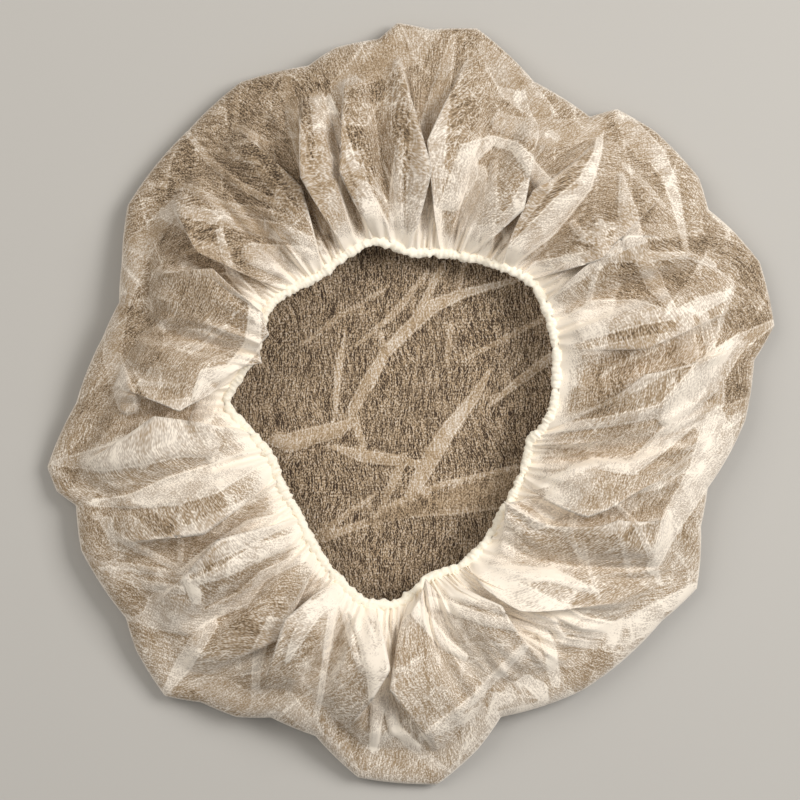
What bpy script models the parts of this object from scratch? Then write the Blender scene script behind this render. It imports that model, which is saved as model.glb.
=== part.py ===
"""A disposable bouffant hairnet lying open side up: one round sheet of thin non-woven, whose middle is the
crown on the table and whose outer part turns up and back over it in puffs, gathered on a ruched elastic hem.

Metres, +Z up, +Y towards the top of the usual view. The cap rests on z = 0, centred on the origin.
"""

import bmesh
import bpy
import numpy as np

MM = 0.001

# The sheet and its wall, in millimetres.
WALL = 1.2
LINES_PER_FOLD = 4
CROWN_RINGS = (12.0, 20.0, 29.0, 39.0, 50.0, 62.0, 77.0, 95.0, 117.0)
RIM_STEPS = 5
SIDE_STEPS = 13

# The rim is a soft roll: how far it reaches in from the outline, and half its height.
# It is flatter where a corner stands out from the mean outline, and fuller in the dents between.
RIM_DEPTH = 15.0
RIM_HALF_HEIGHT = 8.0
RIM_FLATTEN = 0.28
RIM_MEAN_OVER_DEG = 24.0

# The side rises in a puff between the rim and the hem, hangs between its folds, and its folds have firm tops.
PUFF_RISE = 12.0
VALLEY_DROP = 6.0
FOLD_FIRMNESS = 1.35

# The ruched elastic.
HEM_RADIUS = 2.3
HEM_HEIGHT = 19.0
HEM_WAVE = 2.5
HEM_NECK = 0.84
SEAM_GAP = 0.5

# Where the middle of the outline lies from the point that the tables are measured from.
CENTRE_SHIFT_X = -0.76
CENTRE_SHIFT_Y = 0.9

# Corners of the rim, counter-clockwise from +X: where the stiff sheet breaks, and how far out.
RIM_COLUMNS = ("angle_deg", "reach_mm")
RIM_CORNERS = (
    (7, 156),
    (12, 168),
    (22, 170),
    (28, 165),
    (33, 160),
    (38, 165),
    (48, 165),
    (55, 162),
    (58, 152),
    (69, 155),
    (80, 172),
    (87, 169),
    (92, 172),
    (95, 165),
    (102, 164),
    (107, 159),
    (118, 164),
    (129, 159),
    (145, 156),
    (154, 145),
    (161, 139),
    (168, 142),
    (180, 151),
    (190, 167),
    (194, 165),
    (197, 158),
    (204, 163),
    (217, 161),
    (222, 167),
    (230, 173),
    (235, 165),
    (241, 162),
    (246, 155),
    (254, 156),
    (262, 171),
    (274, 173),
    (281, 159),
    (286, 147),
    (301, 151),
    (319, 150),
    (327, 154),
    (337, 142),
    (344, 139),
    (357, 151),
)

# Bends of the elastic hem, counter-clockwise from +X.
HEM_COLUMNS = ("angle_deg", "reach_mm")
HEM_BENDS = (
    (9, 66),
    (26, 71),
    (44, 77),
    (57, 73),
    (70, 70),
    (90, 67),
    (103, 75),
    (116, 72),
    (126, 70),
    (145, 77),
    (163, 73),
    (180, 84),
    (190, 73),
    (201, 67),
    (225, 71),
    (246, 84),
    (257, 92),
    (267, 90),
    (276, 78),
    (289, 76),
    (310, 64),
    (325, 60),
    (343, 56),
    (352, 62),
)

# Main folds of the side, counter-clockwise: where each leaves the hem and where it meets the rim, its rise,
# and how far along its run from the rim it is highest. The side hangs in a valley between two folds.
FOLD_COLUMNS = ("hem_deg", "rim_deg", "rise_mm", "crest_share")
FOLDS = (
    (-12, 9, 12, 0.50),
    (21, 17, 8, 0.55),
    (36, 30, 7, 0.40),
    (46, 40, 9, 0.60),
    (56, 52, 10, 0.45),
    (68, 66, 7, 0.60),
    (79, 80, 10, 0.45),
    (91, 93, 8, 0.60),
    (102, 101, 11, 0.55),
    (112, 109, 11, 0.50),
    (124, 123, 6, 0.55),
    (138, 139, 8, 0.40),
    (152, 155, 9, 0.55),
    (172, 176, 8, 0.65),
    (190, 192, 10, 0.45),
    (208, 204, 6, 0.50),
    (226, 219, 10, 0.55),
    (238, 232, 8, 0.40),
    (248, 243, 7, 0.55),
    (259, 258, 10, 0.60),
    (270, 275, 9, 0.45),
    (279, 297, 7, 0.60),
    (290, 322, 10, 0.50),
    (306, 336, 7, 0.40),
    (325, 348, 8, 0.60),
)

# Places where the side flops in over the hem, and how far along the side they reach in the most.
# Columns: angle_deg, half_width_deg, reach_mm.
FLAP_AT = 0.8
FLAPS = (
    (168, 15, 8),
    (284, 15, 7),
    (338, 12, 4),
)

# Creases pressed into the crown by its packing, as ridges between two points.
# Columns: from_x_mm, from_y_mm, to_x_mm, to_y_mm, rise_mm.
CREASES = (
    (44, 56, -2, 43, 2.4),
    (-2, 43, -26, -2, 2.6),
    (-26, -4, -62, -14, 2.6),
    (-38, -18, 4, -27, 2.2),
    (0, -38, 34, 14, 2.8),
    (-42, -60, 36, -44, 2.4),
)
CREASE_HALF_WIDTH = 8.0

# What each surface looks like.
CLOTH_COLOUR = (0.86, 0.82, 0.75, 1.0)
ELASTIC_COLOUR = (0.95, 0.89, 0.76, 1.0)


def column(table, names, name):
    """One named column of a table as an array."""
    return np.array([row[names.index(name)] for row in table], float)


def around(table, names, angles_deg):
    """The reach that a table of corners gives at each angle, straight from corner to corner."""
    corners = column(table, names, "angle_deg")
    reach = column(table, names, "reach_mm")
    return np.interp(angles_deg, corners, reach, period=360.0)


def smooth_around(table, names, angles_deg, spread_deg):
    """The same reach with its corners softened: the mean over a few angles on either side."""
    offsets = np.linspace(-spread_deg, spread_deg, 7)
    return np.mean([around(table, names, angles_deg + offset) for offset in offsets], axis=0)


def turn_between(angles_deg, centre_deg):
    """The signed angle from a centre, from -180 to 180 degrees."""
    return (angles_deg - centre_deg + 180.0) % 360.0 - 180.0


def fold_lines(name):
    """The sheet's lines at the rim or at the hem: one on every fold, and even steps to the next fold."""
    ridges = column(FOLDS, FOLD_COLUMNS, name)
    ahead = np.append(ridges[1:], ridges[0] + 360.0)
    steps = np.arange(LINES_PER_FOLD) / LINES_PER_FOLD
    return (ridges[:, None] + (ahead - ridges)[:, None] * steps).ravel()


def tent(x):
    """A ridge's cross-section: 1 at 0, falling to 0 at 1 and -1, with a rounded foot and a firm top."""
    slope = np.clip(1.0 - np.abs(x), 0.0, 1.0)
    return slope * slope * (1.6 - 0.6 * slope)


def hem_line(angles_deg):
    """The elastic's centreline at each angle: x, y and z."""
    reach = smooth_around(HEM_BENDS, HEM_COLUMNS, angles_deg, 3.0)
    turn = np.radians(angles_deg)
    height = HEM_HEIGHT + HEM_WAVE * np.sin(3.0 * turn + 0.7) + 0.6 * HEM_WAVE * np.sin(7.0 * turn + 2.0)
    return np.stack([reach * np.cos(turn), reach * np.sin(turn), height], axis=-1)


def seam_line(angles_deg):
    """Where the sheet ends against the elastic: the hem line moved outwards, square to itself."""
    step = 0.5
    ahead = hem_line(angles_deg + step)
    behind = hem_line(angles_deg - step)
    along = ahead - behind
    out = np.stack([along[:, 1], -along[:, 0], np.zeros(len(along))], axis=-1)
    out /= np.linalg.norm(out, axis=1, keepdims=True)
    return hem_line(angles_deg) + out * (HEM_RADIUS + SEAM_GAP)


def crease_rise(x, y):
    """The crown's height over the table: the highest of the creases that pass a point."""
    rise = np.zeros(np.shape(x))
    for from_x, from_y, to_x, to_y, height in CREASES:
        run_x, run_y = to_x - from_x, to_y - from_y
        share = ((x - from_x) * run_x + (y - from_y) * run_y) / (run_x**2 + run_y**2)
        share = np.clip(share, 0.0, 1.0)
        off = np.hypot(x - from_x - share * run_x, y - from_y - share * run_y)
        rise = np.maximum(rise, height * tent(off / CREASE_HALF_WIDTH))
    return rise


def fold_rise(share):
    """The height that the folds add on each of the sheet's lines, share being 0 at the rim and 1 at the hem."""
    rise = column(FOLDS, FOLD_COLUMNS, "rise_mm")
    crest = column(FOLDS, FOLD_COLUMNS, "crest_share")
    along = np.where(share < crest, share / crest, (1.0 - share) / (1.0 - crest))
    ridge = rise * np.sin(0.5 * np.pi * along) ** 0.8
    ridge_ahead = np.roll(ridge, -1)
    valley = -VALLEY_DROP * np.sin(np.pi * share) ** 0.8
    step = np.arange(LINES_PER_FOLD) / LINES_PER_FOLD
    near = np.clip(1.0 - 2.0 * step, 0.0, 1.0) ** FOLD_FIRMNESS
    far = np.clip(2.0 * step - 1.0, 0.0, 1.0) ** FOLD_FIRMNESS
    lift = (ridge - valley)[:, None] * near + (ridge_ahead - valley)[:, None] * far
    return valley + lift.ravel()


def flap_reach(angles_deg, share):
    """How far the side leans in past its straight run, where it flops over the hem."""
    reach = np.zeros(np.shape(angles_deg))
    for centre, half_width, amount in FLAPS:
        reach = reach + amount * tent(turn_between(angles_deg, centre) / half_width)
    return reach * tent((share - FLAP_AT) / (1.0 - FLAP_AT))


def crown_ring(radius, angles_deg):
    """One ring of the crown, flat on the table but for its creases."""
    turn = np.radians(angles_deg)
    x, y = radius * np.cos(turn), radius * np.sin(turn)
    return np.stack([x, y, crease_rise(x, y)], axis=-1)


def rim_ring(angles_deg, roll):
    """One ring of the rim's soft roll, roll going from 0 underneath to 1 on top."""
    turn = np.radians(angles_deg)
    lean = np.pi * (roll - 0.5)
    outline = around(RIM_CORNERS, RIM_COLUMNS, angles_deg)
    radius = outline - RIM_DEPTH * (1.0 - np.cos(lean))
    stands_out = outline - smooth_around(RIM_CORNERS, RIM_COLUMNS, angles_deg, RIM_MEAN_OVER_DEG)
    height = (RIM_HALF_HEIGHT - RIM_FLATTEN * stands_out) * (1.0 + np.sin(lean))
    return np.stack([radius * np.cos(turn), radius * np.sin(turn), height], axis=-1)


def side_ring(share):
    """One ring of the side: straight from the rim's top to the seam, raised by the puff and the folds."""
    rim_deg = fold_lines("rim_deg")
    start = rim_ring(rim_deg, 1.0)
    end = seam_line(fold_lines("hem_deg"))
    start_reach = np.hypot(start[:, 0], start[:, 1])
    end_reach = np.hypot(end[:, 0], end[:, 1])
    end_deg = np.degrees(np.arctan2(end[:, 1], end[:, 0]))
    angles_deg = rim_deg + turn_between(end_deg, rim_deg) * share
    inward = flap_reach(angles_deg, share)
    reach = start_reach + (end_reach - start_reach) * share - inward
    turn = np.radians(angles_deg)
    height = start[:, 2] + (end[:, 2] - start[:, 2]) * share
    height += PUFF_RISE * np.sin(np.pi * share) ** 0.7 + 0.25 * inward + fold_rise(share)
    return np.stack([reach * np.cos(turn), reach * np.sin(turn), height], axis=-1)


def sheet_rings():
    """Every ring of the sheet, from the crown's middle to the seam."""
    rim_deg = fold_lines("rim_deg")
    rings = [crown_ring(radius, rim_deg) for radius in CROWN_RINGS]
    rings += [rim_ring(rim_deg, step / RIM_STEPS) for step in range(RIM_STEPS + 1)]
    rings += [side_ring(step / SIDE_STEPS) for step in range(1, SIDE_STEPS + 1)]
    shift = np.array([CENTRE_SHIFT_X, CENTRE_SHIFT_Y, 0.0])
    return [(ring + shift) * MM for ring in rings]


def new_material(name, colour, roughness):
    """A plain material with a colour and a roughness."""
    material = bpy.data.materials.new(name)
    material.use_nodes = True
    shader = material.node_tree.nodes["Principled BSDF"]
    shader.inputs["Base Color"].default_value = colour
    shader.inputs["Roughness"].default_value = roughness
    shader.inputs["Metallic"].default_value = 0.0
    return material


def make_sheet(collection):
    """The cloth: rings lofted from the crown's flat middle to the seam, then given their wall inwards."""
    rings = sheet_rings()
    mesh = bpy.data.meshes.new("cap_cloth")
    shape = bmesh.new()
    rows = [[shape.verts.new(point) for point in ring] for ring in rings]
    shape.faces.new(list(reversed(rows[0])))
    for inner, outer in zip(rows, rows[1:]):
        for step in range(len(inner)):
            ahead = (step + 1) % len(inner)
            shape.faces.new((inner[step], inner[ahead], outer[ahead], outer[step]))
    shape.normal_update()
    shape.to_mesh(mesh)
    shape.free()
    mesh.shade_smooth()
    sheet = bpy.data.objects.new("cap_cloth", mesh)
    collection.objects.link(sheet)
    wall = sheet.modifiers.new("wall", "SOLIDIFY")
    wall.thickness = WALL * MM
    wall.offset = -1.0
    sheet.data.materials.append(new_material("non_woven", CLOTH_COLOUR, 0.8))
    return sheet


def make_elastic(collection):
    """The hem: a closed tube along the hem line that swells and narrows with its ruching."""
    shift = np.array([CENTRE_SHIFT_X, CENTRE_SHIFT_Y, 0.0])
    line = (hem_line(fold_lines("hem_deg")) + shift) * MM
    curve = bpy.data.curves.new("elastic_hem", "CURVE")
    curve.dimensions = "3D"
    curve.bevel_depth = HEM_RADIUS * MM
    curve.bevel_resolution = 1
    curve.use_fill_caps = True
    spline = curve.splines.new("POLY")
    spline.points.add(len(line) - 1)
    for step, point in enumerate(line):
        spline.points[step].co = (*point, 1.0)
        spline.points[step].radius = 1.0 if step % 2 else HEM_NECK
    spline.use_cyclic_u = True
    elastic = bpy.data.objects.new("elastic_hem", curve)
    collection.objects.link(elastic)
    curve.materials.append(new_material("ruched_elastic", ELASTIC_COLOUR, 0.7))
    return elastic


def main():
    for existing in list(bpy.data.objects):
        bpy.data.objects.remove(existing)
    collection = bpy.data.collections.new("bouffant_hairnet")
    bpy.context.scene.collection.children.link(collection)
    make_sheet(collection)
    make_elastic(collection)


main()
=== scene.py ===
"""The looks of a disposable bouffant hairnet lying open side up on a pale table.

The solids give its construction and size. This add-on makes what is seen: the sheet of thin non-woven with
its flat crown, its puffed side and the folds that have fallen over, the ruched elastic hem, and the stage.
Lengths are worked in millimetres from the tables below, and become metres when a mesh is made.
"""

import bpy
import numpy as np
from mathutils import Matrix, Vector


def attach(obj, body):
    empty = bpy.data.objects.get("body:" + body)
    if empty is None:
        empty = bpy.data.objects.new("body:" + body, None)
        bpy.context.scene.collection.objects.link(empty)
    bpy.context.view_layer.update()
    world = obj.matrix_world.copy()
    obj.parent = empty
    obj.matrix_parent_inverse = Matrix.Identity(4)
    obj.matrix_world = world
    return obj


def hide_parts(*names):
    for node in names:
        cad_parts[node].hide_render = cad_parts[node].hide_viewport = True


bl_info = {
    "name": "Bouffant hairnet",
    "version": (1, 0, 0),
    "blender": (4, 5, 0),
    "location": "3D View > Sidebar > Hairnet",
    "description": "Makes a sheer non-woven cap with its gathered folds, its elastic hem and a plain stage",
    "category": "Add Mesh",
}

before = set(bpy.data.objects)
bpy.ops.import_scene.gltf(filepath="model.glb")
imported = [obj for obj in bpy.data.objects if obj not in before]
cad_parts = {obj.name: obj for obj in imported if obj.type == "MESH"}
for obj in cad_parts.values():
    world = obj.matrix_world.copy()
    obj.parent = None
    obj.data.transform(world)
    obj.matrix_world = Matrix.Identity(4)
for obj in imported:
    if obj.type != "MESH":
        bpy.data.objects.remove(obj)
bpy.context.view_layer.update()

MM = 0.001

# What brings the outline's middle to the origin, from the point that the tables are measured from.
CENTRE_SHIFT = np.array([-0.76, 0.9, 0.0])

# Corners of the rim, counter-clockwise from +X: where the stiff sheet breaks, and how far out.
# Columns: angle_deg, reach_mm.
RIM_CORNERS = (
    (7, 156), (12, 168), (22, 170), (28, 165), (33, 160), (38, 165), (48, 165), (55, 162),
    (58, 152), (69, 155), (80, 172), (87, 169), (92, 172), (95, 165), (102, 164), (107, 159),
    (118, 164), (129, 159), (145, 156), (154, 145), (161, 139), (168, 142), (180, 151), (190, 167),
    (194, 165), (197, 158), (204, 163), (217, 161), (222, 167), (230, 173), (235, 165), (241, 162),
    (246, 155), (254, 156), (262, 171), (274, 173), (281, 159), (286, 147), (301, 151), (319, 150),
    (327, 154), (337, 142), (344, 139), (357, 151),
)

# Bends of the elastic hem. Columns: angle_deg, reach_mm.
HEM_BENDS = (
    (9, 66), (26, 71), (44, 77), (57, 73), (70, 70), (90, 67), (103, 75), (116, 72),
    (126, 70), (145, 77), (163, 73), (180, 84), (190, 73), (201, 67), (225, 71), (246, 84),
    (257, 92), (267, 90), (276, 78), (289, 76), (310, 64), (325, 60), (343, 56), (352, 62),
)

# Main folds of the side: where each leaves the hem and meets the rim, its rise, how far along from the rim
# it is highest, and how far its top flops over, counter-clockwise if positive.
# Columns: hem_deg, rim_deg, rise_mm, crest_share, flop_mm.
FOLDS = (
    (-12, 9, 12, 0.50, 17),
    (21, 17, 8, 0.55, -13),
    (36, 30, 7, 0.40, 12),
    (46, 40, 9, 0.60, -13),
    (56, 52, 10, 0.45, 14),
    (68, 66, 7, 0.60, -14),
    (79, 80, 10, 0.45, 15),
    (91, 93, 8, 0.60, -13),
    (102, 101, 11, 0.55, 12),
    (112, 109, 11, 0.50, 12),
    (124, 123, 6, 0.55, -13),
    (138, 139, 8, 0.40, 14),
    (152, 155, 9, 0.55, -15),
    (172, 176, 8, 0.65, 16),
    (190, 192, 10, 0.45, -17),
    (208, 204, 6, 0.50, 13),
    (226, 219, 10, 0.55, -15),
    (238, 232, 8, 0.40, 14),
    (248, 243, 7, 0.55, -12),
    (259, 258, 10, 0.60, 13),
    (270, 275, 9, 0.45, -15),
    (279, 297, 7, 0.60, 15),
    (290, 322, 10, 0.50, -17),
    (306, 336, 7, 0.40, 14),
    (325, 348, 8, 0.60, -14),
)

# Places where the side flops in over the hem. Columns: angle_deg, half_width_deg, reach_mm.
FLAPS = (
    (158, 11, 15), (168, 11, 15), (283, 12, 15), (337, 13, 16),
)

# Pressed creases of the crown, where the sheet lies double in a narrow band.
# Columns: whiteness, rise_mm, then the course, a point (x_mm, y_mm, half_width_mm) at each bend.
CROWN_CREASES = (
    (0.78, 1.0, (48, 56, 1.0), (25, 50, 1.7), (10, 44, 3.0), (-3, 32, 2.7), (-12, 22, 2.1)),
    (0.78, 1.0, (-12, 22, 2.1), (-19, 10, 3.0), (-26, -2, 2.3), (-28, -8, 0.6)),
    (0.60, 0.8, (15, 63, 1.2), (9, 52, 1.4), (2, 40, 0.8)),
    (0.52, 0.6, (8, 60, 0.8), (-8, 40, 1.3), (-25, 26, 0.5)),
    (0.46, 0.5, (24, 63, 0.8), (22, 52, 1.0)),
    (0.62, 0.7, (-30, 31, 0.5), (-33, 16, 1.5), (-34, 1, 1.1), (-35, -8, 0.5)),
    (0.60, 0.8, (-63, -17, 2.0), (-55, -18, 4.2), (-45, -15, 3.8), (-33, -12, 3.3), (-26, -8, 1.4)),
    (0.66, 0.7, (-38, -19, 0.5), (-22, -24, 2.6), (-7, -26, 2.4), (7, -28, 0.8)),
    (0.64, 0.6, (-26, -4, 1.4), (-24, -13, 1.5), (-21, -21, 0.9)),
    (0.76, 0.9, (36, 15, 0.8), (29, 3, 2.1), (18, -11, 3.3), (11, -22, 3.7), (3, -36, 3.3), (-3, -46, 1.0)),
    (0.60, 0.7, (64, 21, 2.2), (49, 10, 1.7), (36, -1, 0.5)),
    (0.50, 0.6, (-3, -25, 1.6), (-8, -36, 1.8), (-14, -49, 0.8)),
    (0.60, 0.6, (-42, -62, 1.4), (-18, -53, 1.1), (-5, -45, 1.6), (14, -37, 1.1), (48, -29, 0.8)),
    (0.62, 0.6, (-39, -62, 0.9), (-16, -53, 1.3), (2, -50, 1.6), (20, -49, 1.5), (45, -46, 1.2)),
    (0.26, 0.4, (-20, -54, 1.5), (5, -47, 4.0), (28, -42, 6.0), (46, -38, 7.0)),
    (0.44, 0.5, (-42, -60, 1.6), (-30, -51, 1.1), (-17, -42, 0.6)),
    (0.42, 0.5, (-48, 27, 0.5), (-33, 39, 1.1), (-10, 53, 0.6)),
    (0.42, 0.5, (25, 20, 0.5), (42, 29, 1.1), (60, 38, 0.8)),
    (0.38, 0.4, (18, 36, 0.5), (17, 25, 1.1), (17, 14, 0.5)),
    (0.50, 0.4, (-14, 32, 0.8), (-12, 24, 1.2)),
)

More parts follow.
